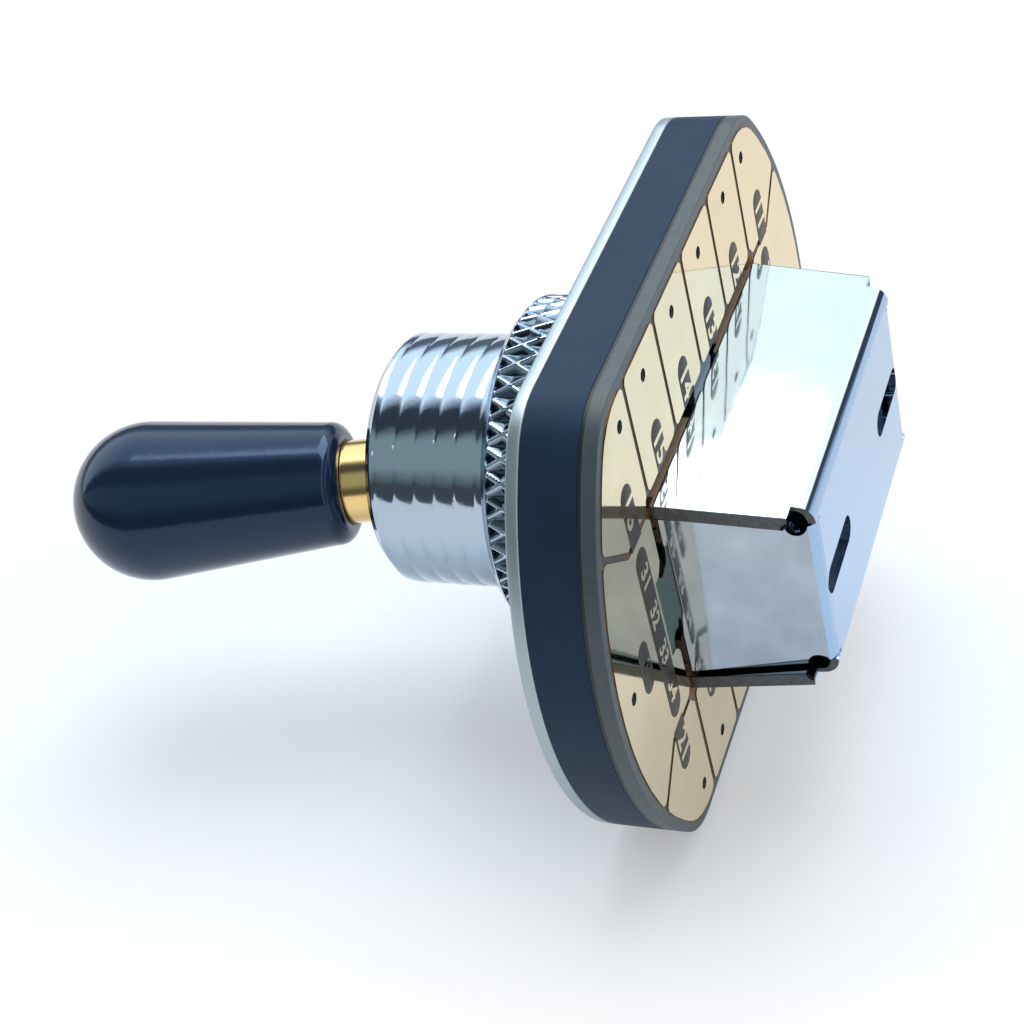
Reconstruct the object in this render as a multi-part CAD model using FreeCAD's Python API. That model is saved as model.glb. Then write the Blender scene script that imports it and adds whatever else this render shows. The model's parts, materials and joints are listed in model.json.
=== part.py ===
import FreeCAD, Part
import math
import os
from FreeCAD import Vector as V, Rotation, Placement

# Six-position lever switch with a threaded bush, flat metal front plate, moulded body,
# circuit board with solder pads and a folded metal can behind it.
# Sizes are in mm. The origin is on the bush axis, at the front face of the plate.
# X runs along the plate, Y from the lever's side (-Y) to the can's side (+Y), Z is up.

# stack of plate, body and board
outlineRadius = 16.35
halfWidth = 12.05
cornerRadius = 3.5
plateThick = 0.6
bodyThick = 2.4
boardThick = 0.8
copperThick = 0.05

# threaded bush
bushRadius = 6.0
bushLength = 11.45
bushChamfer = 0.4
threadPitch = 1.0
threadDepth = 0.2
threadRunout = 0.6
mouthRadius = 4.2
chamberRadius = 4.6
chamberDepth = 7.3
flangeRadius = 7.6
flangeThick = 0.8
plateFit = 0.05

# knurled nut
nutRadius = 7.85
nutThick = 3.3
nutGap = 1.55
nutChamfer = 0.35
nutFit = 0.05
knurlCount = 48
knurlRows = 3
knurlDepth = 0.25

# lever and knob; distances along the lever are counted from its pivot
pivotDepth = 4.34
throwAngle = 13.5
bankAngle = 1.5
leverRadius = 2.0
bossRadius = 2.5
bossHalf = 1.0
tailRadius = 1.6
shoulder = 2.4
shoulderStep = 0.3
tipChamfer = 0.3
springBoreRadius = 0.95
springBoreDepth = 5.45
knobStart = 9.95
knobEnd = 23.85
knobBaseRadius = 2.9
knobTipRadius = 3.89
knobBoreDepth = 7.5
knobEdge = 0.75
knobRecess = 0.12

# gimbal inside the bush
ringRadius = 4.3
ringBore = 2.9
ringHeight = 3.2
pinRadius = 0.7
pinFit = 0.03
bankPinLength = 2.2
pinInset = 0.1

# contact carrier on the lever's tail
carrierLift = 0.5
carrierThick = 1.7
carrierHalfX = 3.0
carrierGapZ = 0.87
carrierCorner = 0.6
clipThick = 0.3
clipRadius = 2.4
clipGroove = 0.25
clipGap = 1.4
wiperWidth = 0.9
wiperThick = 0.2
wiperTipInset = 0.2
wiperRootInset = 1.1
wiperFoot = 0.3
contactGap = 0.04
contactLong = 1.2
contactIn = 0.4
contactOut = 0.6

# detent plunger and its curved track
trackThick = 0.3
trackBacking = 0.57
trackSideX = 0.3
trackSideZ = 0.5
holderDepth = 1.75
holderGapX = 0.6
holderGapZ = 0.4
plungerRadius = 0.9
plungerGap = 0.04
plungerBody = 2.6
plungerReach = 1.4
dimpleRadius = 0.7
dimpleDepth = 0.12
springWire = 0.22
springTurns = 3
springFit = 0.08

# folded can; its half sizes are taken at the end wall, and its walls lean outward toward the board
sheet = 0.65
canHalfEnd = 7.86
canHalfWide = 4.62
canHalfSide = 8.7
canDepth = 6.53
wallLean = 5.8
bendRadius = 0.78
reliefRadius = 0.45
reliefInset = 0.3
canSlotAt = 5.2
canSlotLength = 4.3
canSlotWidth = 1.3
wallGap = 0.22
tabLength = 5.7
tabStart = 2.4
endTab = 1.3
tabDepth = 1.6

# board slots, pads and wire holes
slotInner = 1.3
slotBeyondX = 0.48
slotBeyondZ = 0.45
slotWallGap = 0.15
slotCorner = 0.35
endSlotInner = 1.6
slotEndRadius = 0.47
slotEndStep = 0.15
padLead = 0.973
padNotch = 0.9
padNotchHalf = 2.1
padGap = 0.3
padEdge = 0.5
padStart = 0.05
padCorner = 0.35
elbowInset = 4.55
elbowOuterInset = 2.45
elbowSide = 0.38
elbowSpread = 1.65
wireHole = 0.3
holeInsetZ = 1.75
holeInsetX = 1.85
lastHoleStep = 0.187

# places that follow from the sizes above
bodyFront = plateThick
boardFront = bodyFront + bodyThick
boardBack = boardFront + boardThick
canEnd = boardBack + canDepth
pivot = V(0, -pivotDepth, 0)
swing = math.radians(throwAngle)
sway = math.radians(bankAngle)
bankPinInner = ringBore + 0.2 * (ringRadius - ringBore)
bankPinOuter = bankPinInner + bankPinLength
trackRadius = canEnd - sheet + pivotDepth - trackThick - trackBacking
tailLength = trackRadius - plungerReach
carrierHalfZ = canHalfWide - sheet - carrierGapZ
wiperTipZ = carrierHalfZ - wiperTipInset
wiperRootZ = carrierHalfZ - wiperRootInset
carrierClear = boardBack + pivotDepth + carrierLift + carrierHalfX * math.sin(swing)
carrierStart = carrierClear / math.cos(swing)
lean = math.radians(wallLean)
wallSpan = sheet / math.cos(lean)
canFootEnd = canHalfEnd + canDepth * math.tan(lean)
canFootWide = canHalfWide + canDepth * math.tan(lean)
slotOuterX = canFootEnd + slotBeyondX
slotOuterZ = canFootWide + slotBeyondZ
cornerX = math.sqrt((outlineRadius - cornerRadius) ** 2 - (halfWidth - cornerRadius) ** 2)
padPitch = (cornerX - padLead) / 2
padInner = slotOuterZ + padStart
elbowX = outlineRadius - elbowInset
elbowZ = slotOuterZ - elbowSide
elbowOuterX = outlineRadius - elbowOuterInset
elbowOuterZ = elbowZ + elbowSpread
holeRowZ = halfWidth - holeInsetZ
holeX = (0.5 * padPitch, 1.5 * padPitch, cornerX + lastHoleStep)
endHoleX = outlineRadius - holeInsetX


def box(x0, x1, y0, y1, z0, z1):
    return Part.makeBox(x1 - x0, y1 - y0, z1 - z0, V(x0, y0, z0))


def rod(radius, y0, y1):
    return Part.makeCylinder(radius, y1 - y0, V(0, y0, 0), V(0, 1, 0))


def outline(radius, half, corner, y0, depth):
    # a disc cut by two straight sides, with its four corners rounded
    x = math.sqrt(radius ** 2 - half ** 2)
    right = Part.Arc(V(x, y0, half), V(radius, y0, 0), V(x, y0, -half)).toShape()
    left = Part.Arc(V(-x, y0, -half), V(-radius, y0, 0), V(-x, y0, half)).toShape()
    low = Part.makeLine(V(x, y0, -half), V(-x, y0, -half))
    high = Part.makeLine(V(-x, y0, half), V(x, y0, half))
    solid = Part.Face(Part.Wire([right, low, left, high])).extrude(V(0, depth, 0))
    edges = [e for e in solid.Edges if abs(abs(e.tangentAt(e.FirstParameter).y) - 1) < 1e-6]
    return solid.makeFillet(corner, edges)


def along(shape):
    # a piece built straight along the lever's axis, turned to the stored pose
    tilt = Rotation(V(1, 0, 0), -bankAngle).multiply(Rotation(V(0, 0, 1), throwAngle))
    out = shape.copy()
    out.Placement = Placement(V(0, 0, 0), tilt, pivot).multiply(out.Placement)
    return out


def banked(shape):
    # a piece of the gimbal, which takes the sideways tilt only
    out = shape.copy()
    out.Placement = Placement(V(0, 0, 0), Rotation(V(1, 0, 0), -bankAngle), pivot).multiply(out.Placement)
    return out


def station(s):
    # the height of a point at distance s from the pivot, toward the knob
    return -pivotDepth - s


def revolve(points):
    # points are (distance from the pivot toward the knob, radius)
    wire = Part.makePolygon([V(r, station(s), 0) for s, r in points + points[:1]])
    return Part.Face(wire).revolve(V(0, 0, 0), V(0, 1, 0), 360)


def makePlate():
    plate = outline(outlineRadius, halfWidth, cornerRadius, 0, plateThick)
    plate = plate.cut(rod(bushRadius + plateFit, -1, plateThick + 1))
    return plate


def makeBody():
    body = outline(outlineRadius, halfWidth, cornerRadius, bodyFront, bodyThick)
    body = body.cut(rod(flangeRadius + plateFit, bodyFront - 1, bodyFront + flangeThick))
    body = body.cut(rod(chamberRadius, bodyFront, boardFront + 1))
    for solid in canTabs(slotWallGap):
        body = body.cut(solid)
    return body


def makeBush():
    # the thread is drawn as rings of one pitch; the bush stays plain where it passes the plate
    root = bushRadius - threadDepth
    profile = [(0, -bushLength), (bushRadius - bushChamfer, -bushLength), (bushRadius, bushChamfer - bushLength)]
    y = bushChamfer - bushLength
    while y + threadPitch < -threadRunout:
        profile += [(root, y + threadPitch / 2), (bushRadius, y + threadPitch)]
        y += threadPitch
    profile += [(bushRadius, bodyFront), (flangeRadius, bodyFront),
                (flangeRadius, bodyFront + flangeThick), (0, bodyFront + flangeThick)]
    spots = [V(r, at, 0) for r, at in profile]
    bush = Part.Face(Part.makePolygon(spots + spots[:1])).revolve(V(0, 0, 0), V(0, 1, 0), 360)
    bush = bush.cut(rod(mouthRadius, -bushLength - 1, bodyFront + flangeThick + 1))
    bush = bush.cut(rod(chamberRadius, -chamberDepth, bodyFront + flangeThick + 1))
    return bush.cut(bankPinShape())


def bankPinShape():
    pins = []
    for side in (-1, 1):
        start = V(side * bankPinInner, -pivotDepth, 0)
        pins.append(Part.makeCylinder(pinRadius, bankPinOuter - bankPinInner, start, V(side, 0, 0)))
    return Part.makeCompound(pins)


def knurlPoint(column, row, y0, y1):
    # ridges meet where column and row add to an even number; the hollows between lie deeper
    hollow = (column + row) % 2 == 1 and 0 < row < 2 * knurlRows
    r = nutRadius - (knurlDepth if hollow else 0)
    a = math.pi * column / knurlCount
    return V(r * math.cos(a), y0 + (y1 - y0) * row / (2 * knurlRows), r * math.sin(a))


def knurlFaces(y0, y1):
    # each diamond is four flat facets that fall from its ridges to its middle
    out = []
    columns = 2 * knurlCount
    for row in range(2 * knurlRows + 1):
        for c in range(columns):
            if (c + row) % 2 == 0:
                continue
            ring = [(c - 1, row), (c, row + 1), (c + 1, row), (c, row - 1)]
            for a, b in zip(ring, ring[1:] + ring[:1]):
                if 0 <= a[1] <= 2 * knurlRows and 0 <= b[1] <= 2 * knurlRows:
                    spots = [knurlPoint(k % columns, r, y0, y1) for k, r in (a, b, (c, row))]
                    out.append(Part.Face(Part.makePolygon(spots + spots[:1])))
    return out


def makeNut():
    # a round nut with a diamond knurl between two chamfered rims
    y1 = -nutGap
    y0 = y1 - nutThick
    faces = knurlFaces(y0 + nutChamfer, y1 - nutChamfer)
    turns = [math.pi * c / knurlCount for c in range(2 * knurlCount)]
    for end, rim in ((y0, y0 + nutChamfer), (y1, y1 - nutChamfer)):
        inner = [V((nutRadius - nutChamfer) * math.cos(a), end, (nutRadius - nutChamfer) * math.sin(a)) for a in turns]
        outer = [V(nutRadius * math.cos(a), rim, nutRadius * math.sin(a)) for a in turns]
        for k in range(len(turns)):
            spots = [inner[k - 1], inner[k], outer[k], outer[k - 1], inner[k - 1]]
            faces.append(Part.Face(Part.makePolygon(spots)))
        faces.append(Part.Face(Part.makePolygon(inner + inner[:1])))
    shell = Part.Shell(faces)
    shell.sewShape()
    nut = Part.Solid(shell)
    if nut.Volume < 0:
        nut.reverse()
    return nut.cut(rod(bushRadius + nutFit, y0 - 1, y1 + 1))


def makeKnob():
    # a cone that swells from the rounded base edge into a full rounded tip
    length = knobEnd - knobTipRadius - knobStart
    lean = math.asin((knobTipRadius - knobBaseRadius) / math.hypot(length, knobTipRadius - knobBaseRadius))
    joinS = knobEnd - knobTipRadius - knobTipRadius * math.sin(lean)
    joinR = knobTipRadius * math.cos(lean)
    side = V(joinR, station(joinS), 0)
    tip = V(0, station(knobEnd), 0)
    ball = knobEnd - knobTipRadius
    slope = (knobTipRadius - knobBaseRadius) / length
    rim = [V(0, station(knobStart), 0)]
    for k in range(4):
        a = math.radians(30 * k)
        rise = knobEdge * (1 - math.cos(a))
        r = knobBaseRadius + slope * rise - knobEdge * (1 - math.sin(a))
        rim.append(V(r, station(knobStart + rise), 0))
    crown = []
    for k in range(1, 7):
        a = (math.pi / 2 + lean) * k / 7 - lean
        crown.append(V(knobTipRadius * math.cos(a), station(ball + knobTipRadius * math.sin(a)), 0))
    profile = Part.makePolygon(rim + [side] + crown + [tip, rim[0]])
    knob = Part.Face(profile).revolve(V(0, 0, 0), V(0, 1, 0), 360)
    bore = rod(leverRadius, station(knobStart + knobBoreDepth), station(knobStart) + 1)
    mouth = Part.makeCone(leverRadius, leverRadius + knobRecess, knobRecess,
                          V(0, station(knobStart + knobRecess), 0), V(0, 1, 0))
    return knob.cut(bore.fuse(mouth))


def makeLever():
    front = knobStart + knobBoreDepth
    points = [(front, 0), (front, leverRadius - tipChamfer), (front - tipChamfer, leverRadius),
              (2 * bossHalf, leverRadius), (bossHalf, bossRadius), (-bossHalf, bossRadius), (-2 * bossHalf, leverRadius),
              (-shoulder, leverRadius), (-shoulder - shoulderStep, tailRadius),
              (-tailLength, tailRadius), (-tailLength, 0)]
    lever = revolve(points)
    lever = lever.cut(Part.makeCylinder(pinRadius + pinFit, 4 * bossRadius, pivot - V(0, 0, 2 * bossRadius)))
    bore = rod(springBoreRadius, station(-tailLength + springBoreDepth), station(-tailLength) + 1)
    groove = rod(tailRadius + 1, clipNear(), clipNear() + clipThick)
    groove = groove.cut(rod(tailRadius - clipGroove, clipNear() - 1, clipNear() + clipThick + 1))
    return lever.cut(bore).cut(groove)


def clipNear():
    return station(-carrierStart - carrierThick)


def makeRing():
    half = ringHeight / 2
    ring = rod(ringRadius, -pivotDepth - half, -pivotDepth + half)
    ring = ring.cut(rod(ringBore, -pivotDepth - half - 1, -pivotDepth + half + 1))
    ring = ring.cut(Part.makeCylinder(pinRadius, 4 * ringRadius, pivot - V(0, 0, 2 * ringRadius)))
    axle = Part.makeCylinder(pinRadius + pinFit, 4 * ringRadius, pivot - V(2 * ringRadius, 0, 0), V(1, 0, 0))
    return ring.cut(axle)


def makeThrowPin():
    half = ringRadius - pinInset
    return Part.makeCylinder(pinRadius, 2 * half, pivot - V(0, 0, half))


def makeCarrier():
    y0 = station(-carrierStart)
    y1 = y0 + carrierThick
    carrier = box(-carrierHalfX, carrierHalfX, y0, y1, -carrierHalfZ, carrierHalfZ)
    edges = [e for e in carrier.Edges if abs(e.tangentAt(e.FirstParameter).y) > 0.99]
    carrier = carrier.makeFillet(carrierCorner, edges)
    return carrier.cut(rod(tailRadius, y0 - 1, y1 + 1))


def makeClip():
    y0 = clipNear()
    clip = rod(clipRadius, y0, y0 + clipThick)
    clip = clip.cut(rod(tailRadius - clipGroove, y0 - 1, y0 + clipThick + 1))
    return clip.cut(box(0, clipRadius + 1, y0 - 1, y0 + clipThick + 1, -clipGap / 2, clipGap / 2))


def wiperTip():
    # the tips clear the fixed contacts at both ends of the swing
    touch = boardBack + copperThick + contactGap
    rise = wiperTipZ * math.sin(sway) + wiperWidth / 2 * math.sin(swing)
    return (touch + rise + pivotDepth) / (math.cos(swing) * math.cos(sway))


def makeWipers():
    # two sprung strips that leave the carrier's face and reach the fixed contacts
    tipY = station(-wiperTip())
    rootY = station(-carrierStart)
    out = []
    for side in (-1, 1):
        a = V(-wiperWidth / 2, rootY, side * wiperRootZ)
        b = V(-wiperWidth / 2, tipY, side * wiperTipZ)
        down = V(0, wiperThick, 0)
        foot = V(0, 0, side * wiperFoot)
        wire = Part.makePolygon([a - foot, a - foot - down, a - down, b - foot, b, b + foot * 0.5 + down * 0.6,
                                 b + down, a, a - foot])
        out.append(Part.Face(wire).extrude(V(wiperWidth, 0, 0)))
    return Part.makeCompound(out)


def makeFixedContacts():
    # three flat contacts on each side of the opening, one for each throw
    reach = wiperTip() * math.sin(swing)
    out = []
    for side in (-1, 1):
        for k in (-1, 0, 1):
            x = k * reach
            z = sorted((side * (wiperTipZ - contactIn), side * (wiperTipZ + contactOut)))
            half = contactLong / 2
            out.append(box(x - half, x + half, boardBack, boardBack + copperThick, z[0], z[1]))
    return Part.makeCompound(out)


def makePlunger():
    tip = trackRadius - plungerGap
    body = rod(plungerRadius, station(-tip + plungerRadius) - plungerBody, station(-tip + plungerRadius))
    nose = Part.makeSphere(plungerRadius, V(0, station(-tip + plungerRadius), 0))
    return body.fuse(nose).removeSplitter()


def makeSpring():
    # the wire is drawn with four sides, which is fine enough for a spring inside the tail
    y0 = station(-tailLength + springBoreDepth) + springWire / 2
    y1 = station(-trackRadius + plungerGap + plungerRadius) - plungerBody - springWire / 2
    turn = springBoreRadius - springFit - springWire / 2
    helix = Part.makeHelix((y1 - y0) / springTurns, y1 - y0, turn)
    helix.Placement = Placement(V(0, y0, 0), Rotation(V(1, 0, 0), -90))
    first = helix.Edges[0]
    start = first.valueAt(first.FirstParameter)
    heading = first.tangentAt(first.FirstParameter)
    outward = V(start.x, 0, start.z).normalize()
    across = heading.cross(outward)
    corners = []
    for k in range(5):
        a = math.pi * k / 2
        corners.append(start + outward * (springWire / 2 * math.cos(a)) + across * (springWire / 2 * math.sin(a)))
    return Part.Wire(helix.Edges).makePipeShell([Part.makePolygon(corners)], True, True)


def makeTrack():
    # a dished steel plate centred on the pivot, with six shallow seats
    plate = Part.makeSphere(trackRadius + trackThick, pivot).cut(Part.makeSphere(trackRadius, pivot))
    reachX = trackRadius * math.sin(swing) + plungerRadius + trackSideX
    reachZ = trackRadius * math.sin(sway) + plungerRadius + trackSideZ
    plate = plate.common(box(-reachX, reachX, 0, canEnd, -reachZ, reachZ))
    for k in (-1, 0, 1):
        for side in (-1, 1):
            tilt = Rotation(V(1, 0, 0), side * bankAngle).multiply(Rotation(V(0, 0, 1), k * throwAngle))
            way = tilt.multVec(V(0, 1, 0))
            seat = Part.makeCone(2 * dimpleRadius, 0, 2 * dimpleDepth, pivot + way * (trackRadius - dimpleDepth), way)
            plate = plate.cut(seat)
    return plate


def makeHolder():
    # the moulded block that seats the track against the can's end wall
    inner = canEnd - sheet
    halfX = canHalfEnd - sheet - holderGapX
    halfZ = canHalfWide - sheet - holderGapZ
    holder = box(-halfX, halfX, inner - holderDepth, inner, -halfZ, halfZ)
    holder = holder.cut(Part.makeSphere(trackRadius + trackThick, pivot))
    return holder


def slotShape(x, length, width, y0, depth):
    r = width / 2
    half = length / 2 - r
    solid = box(x - half, x + half, y0, y0 + depth, -r, r)
    for side in (-1, 1):
        end = Part.makeCylinder(r, depth, V(x + side * half, y0, 0), V(0, 1, 0))
        solid = solid.fuse(end)
    return solid.removeSplitter()


def leaning(half, length, y0, y1, radius):
    # a block along Z whose two sides lean outward toward the board, with its far edges rounded
    near = half + (canEnd - y0) * math.tan(lean)
    far = half + (canEnd - y1) * math.tan(lean)
    spots = [V(-near, y0, -length), V(-far, y1, -length), V(far, y1, -length), V(near, y0, -length)]
    block = Part.Face(Part.makePolygon(spots + spots[:1])).extrude(V(0, 0, 2 * length))
    edges = [e for e in block.Edges if e.BoundBox.ZLength > 2 * length - 0.01 and e.BoundBox.YMin > y1 - 0.01]
    return block.makeFillet(radius, edges)


def bentStrip(half, length):
    # a channel of sheet with two bends, the web at the far end of the can; it runs along Z
    inner = leaning(half - wallSpan, length + 1, boardBack - 1, canEnd - sheet, bendRadius - sheet)
    return leaning(half, length, boardBack, canEnd, bendRadius).cut(inner)


def quarter(shape):
    out = shape.copy()
    out.Placement = Placement(V(0, 0, 0), Rotation(V(0, 1, 0), 90))
    return out


def canTabs(gap):
    # the tongues that pass through the board into the body, widened by a clearance
    out = []
    y0 = boardFront - tabDepth - gap
    for sx in (-1, 1):
        for sz in (-1, 1):
            x = sorted((sx * (tabStart - gap), sx * (tabStart + tabLength + gap)))
            z = sorted((sz * (canFootWide - wallSpan - gap), sz * (canFootWide + gap)))
            out.append(box(x[0], x[1], y0, boardBack, z[0], z[1]))
            x = sorted((sx * (canFootEnd - wallSpan - gap), sx * (canFootEnd + gap)))
            z0 = endSlotInner + 2 * slotEndRadius
            z = sorted((sz * (z0 - gap), sz * (z0 + endTab + gap)))
            out.append(box(x[0], x[1], y0, boardBack, z[0], z[1]))
    return out


def makeCan():
    # one folded sheet: end wall, two long walls whose ends stand past the short ones, and eight tongues
    far = 2 * canHalfSide
    within = quarter(leaning(canHalfWide - wallSpan - wallGap, far, boardBack, canEnd, bendRadius - sheet))
    shortWalls = bentStrip(canHalfEnd, 2 * canHalfWide).common(within)
    longWalls = quarter(bentStrip(canHalfWide, canHalfSide))
    inset = canHalfWide - bendRadius
    start = canHalfEnd - bendRadius
    for end in (-1, 1):
        x = sorted((end * start, end * far))
        longWalls = longWalls.cut(box(x[0], x[1], boardBack - 1, canEnd + 1, -inset, inset))
    can = shortWalls.fuse(longWalls)
    for end in (-1, 1):
        for side in (-1, 1):
            spot = V(end * (start - reliefInset), canEnd - bendRadius, side * inset)
            can = can.cut(Part.makeCylinder(reliefRadius, canHalfSide, spot, V(end, 0, 0)))
    for tab in canTabs(0):
        can = can.fuse(tab)
    for side in (-1, 1):
        can = can.cut(slotShape(side * canSlotAt, canSlotLength, canSlotWidth, canEnd - 2 * sheet, 3 * sheet))
    return can.removeSplitter()


def holePlaces():
    places = [(sx * x, sz * holeRowZ) for x in holeX for sx in (-1, 1) for sz in (-1, 1)]
    return places + [(-endHoleX, 0), (endHoleX, 0)]


def smallHole(x, z, radius, sides, y0, y1):
    # a round hole drawn with a few sides, which is fine enough at this size
    spots = [V(x + radius * math.cos(2 * math.pi * k / sides), y0, z + radius * math.sin(2 * math.pi * k / sides))
             for k in range(sides + 1)]
    return Part.Face(Part.makePolygon(spots)).extrude(V(0, y1 - y0, 0))


def drill(shape, y0, y1):
    return shape.cut(Part.makeCompound([smallHole(x, z, wireHole, 8, y0, y1) for x, z in holePlaces()]))


def slotEnds(y0, y1):
    # the round holes that end each leg of the corner slots
    out = []
    for sx in (-1, 1):
        for sz in (-1, 1):
            for x, z in ((slotInner + slotEndRadius, slotOuterZ - slotEndStep),
                         (slotOuterX - slotEndStep, endSlotInner + slotEndRadius)):
                out.append(smallHole(sx * x, sz * z, slotEndRadius, 12, y0, y1))
    return Part.makeCompound(out)


def cornerSlots(y0, y1):
    # an L-shaped slot at each corner of the can
    out = []
    wall = canFootWide - wallSpan - slotWallGap
    endWall = canFootEnd - wallSpan - slotWallGap
    for sx in (-1, 1):
        for sz in (-1, 1):
            x = sorted((sx * (slotInner + slotEndRadius), sx * slotOuterX))
            z = sorted((sz * wall, sz * slotOuterZ))
            leg = box(x[0], x[1], y0, y1, z[0], z[1])
            x = sorted((sx * endWall, sx * slotOuterX))
            z = sorted((sz * (endSlotInner + slotEndRadius), sz * slotOuterZ))
            out.append(leg.fuse(box(x[0], x[1], y0, y1, z[0], z[1])).removeSplitter())
    return out


def makeBoard():
    board = outline(outlineRadius, halfWidth, cornerRadius, boardFront, boardThick)
    for slot in cornerSlots(boardFront - 1, boardBack + 1):
        board = board.cut(slot)
    board = board.cut(slotEnds(boardFront - 1, boardBack + 1))
    reachX = (boardBack + pivotDepth) * math.tan(swing) + tailRadius + wallGap
    reachZ = (boardBack + pivotDepth) * math.tan(sway) + tailRadius + wallGap
    opening = slotShape(0, 2 * reachX, 2 * reachZ, boardFront - boardThick, 3 * boardThick)
    return drill(board.cut(opening), boardFront - 1, boardBack + 1)


def elbow(sx, sz, side):
    # the bent gap between an end pad and its neighbour; side is +1 for the outer pad, -1 for the end pad
    g = side * padGap / 2
    lean = math.atan2(elbowOuterZ - elbowZ, elbowOuterX - elbowX)
    bend = -g * math.tan(lean / 2)
    far = outlineRadius - elbowX
    start = (elbowX + bend, elbowZ + g)
    end = (start[0] + far * math.cos(lean), start[1] + far * math.sin(lean))
    return [(sx * slotOuterX, sz * start[1]), (sx * start[0], sz * start[1]), (sx * end[0], sz * end[1])]


def padCells():
    # outlines of the pads as (x, z) polygons; each is later trimmed to the copper's edge
    far = 2 * outlineRadius
    g = padGap / 2
    lines = [k * padPitch for k in range(-2, 3)]
    cells = []
    for sz in (-1, 1):
        for k in range(4):
            x0 = lines[k] + g
            x1 = lines[k + 1] - g
            cells.append([(x0, sz * padInner), (x1, sz * padInner), (x1, sz * far), (x0, sz * far)])
        for sx in (-1, 1):
            x0 = sx * (2 * padPitch + g)
            start = [(x0, sz * padInner), (sx * slotOuterX, sz * padInner)]
            cells.append(start + elbow(sx, sz, 1) + [(sx * far, sz * far), (x0, sz * far)])
    for sx in (-1, 1):
        notch = [(sx * slotOuterX, padNotchHalf), (sx * (slotOuterX + padNotch), padNotchHalf),
                 (sx * (slotOuterX + padNotch), -padNotchHalf), (sx * slotOuterX, -padNotchHalf)]
        cells.append(elbow(sx, -1, -1) + [(sx * far, 0)] + elbow(sx, 1, -1)[::-1] + notch)
    return cells


def makePads():
    # each pad is its cell trimmed by the copper's edge, with its corners rounded
    blank = outline(outlineRadius - padEdge, halfWidth - padEdge, cornerRadius, boardBack, copperThick)
    out = []
    for cell in padCells():
        ring = [V(x, boardBack, z) for x, z in cell]
        prism = Part.Face(Part.makePolygon(ring + ring[:1])).extrude(V(0, copperThick, 0))
        pad = blank.common(prism).cut(slotEnds(boardBack - 1, boardBack + 1))
        base = min(pad.Faces, key=lambda face: (round(face.CenterOfMass.y, 3), -face.Area))
        soft = base.makeOffset2D(-padCorner, 2).makeOffset2D(padCorner, 0)
        turns = soft.Wires[0].discretize(Angular=0.55, Curvature=0.02, Minimum=2)
        pad = Part.Face(Part.makePolygon(turns + turns[:1])).extrude(V(0, copperThick, 0))
        out += drill(pad, boardBack - 1, boardBack + 1).Solids
    return Part.makeCompound(out)


def save(name, shape):
    shape.exportStep("parts/%s.step" % name)
    solids = len(shape.Solids)
    print(name, solids, "solids", round(shape.Volume, 2), "mm3", shape.isValid())


os.makedirs("parts", exist_ok=True)
save("front_plate", makePlate())
save("body_moulding", makeBody())
save("bush", makeBush())
save("bank_pins", bankPinShape())
save("knurled_nut", makeNut())
save("circuit_board", makeBoard())
save("copper_pads", makePads())
save("can", makeCan())
save("detent_holder", makeHolder())
save("detent_track", makeTrack())
save("fixed_contacts", makeFixedContacts())
save("gimbal_ring", banked(makeRing()))
save("throw_pin", banked(makeThrowPin()))
save("lever", along(makeLever()))
save("knob", along(makeKnob()))
save("contact_carrier", along(makeCarrier()))
save("carrier_clip", along(makeClip()))
save("wiper_contacts", along(makeWipers()))
save("detent_plunger", along(makePlunger()))
save("detent_spring", along(makeSpring()))
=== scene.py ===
import json
import math
import bpy
import bmesh
from mathutils import Matrix, Vector


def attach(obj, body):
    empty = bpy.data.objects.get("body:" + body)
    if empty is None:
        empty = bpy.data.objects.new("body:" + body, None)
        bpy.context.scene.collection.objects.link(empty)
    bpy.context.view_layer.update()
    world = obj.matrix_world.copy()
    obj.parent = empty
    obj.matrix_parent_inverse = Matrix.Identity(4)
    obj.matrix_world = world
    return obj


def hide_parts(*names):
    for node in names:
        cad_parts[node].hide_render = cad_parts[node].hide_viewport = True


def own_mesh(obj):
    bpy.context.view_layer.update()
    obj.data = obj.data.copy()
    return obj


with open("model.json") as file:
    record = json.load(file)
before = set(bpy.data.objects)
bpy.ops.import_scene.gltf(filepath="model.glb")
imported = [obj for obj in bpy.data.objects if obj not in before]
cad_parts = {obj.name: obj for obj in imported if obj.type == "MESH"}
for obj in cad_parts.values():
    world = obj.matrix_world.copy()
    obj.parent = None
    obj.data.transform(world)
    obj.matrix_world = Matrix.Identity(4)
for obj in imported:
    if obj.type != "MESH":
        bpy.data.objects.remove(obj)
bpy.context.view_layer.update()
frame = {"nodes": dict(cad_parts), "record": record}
nodes = frame["nodes"]
milli = 0.001
print("frame loaded with", len(nodes), "nodes")

# places along the bush axis, and the outline that plate and board share, in millimetres
stack = {"plateFront": 0.0, "plateBack": 0.6, "copperBack": 3.85,
         "edgeRadius": 16.35, "halfWidth": 12.05, "corner": 3.5}
# the stored pose of the lever: thrown along the plate and leaning a little up
pose = {"pivot": (0, -4.34, 0), "throw": 13.5, "lean": -1.5}


def hexColour(text):
    # sRGB hex to the linear colour that the shaders take
    parts = [int(text[k:k + 2], 16) / 255 for k in (0, 2, 4)]
    return (*[c / 12.92 if c <= 0.04045 else ((c + 0.055) / 1.055) ** 2.4 for c in parts], 1.0)


def addNode(tree, kind, settings=None, given=None):
    # settings are the node's own fields or inputs; given are inputs: another node's output, a number or a hex colour
    node = tree.nodes.new(kind)
    for key, value in (settings or {}).items():
        if isinstance(key, int) or key in node.inputs:
            node.inputs[key].default_value = value
        else:
            setattr(node, key, value)
    for key, value in (given or {}).items():
        if isinstance(value, bpy.types.NodeSocket):
            tree.links.new(value, node.inputs[key])
        else:
            node.inputs[key].default_value = hexColour(value) if isinstance(value, str) else value
    return node


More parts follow.
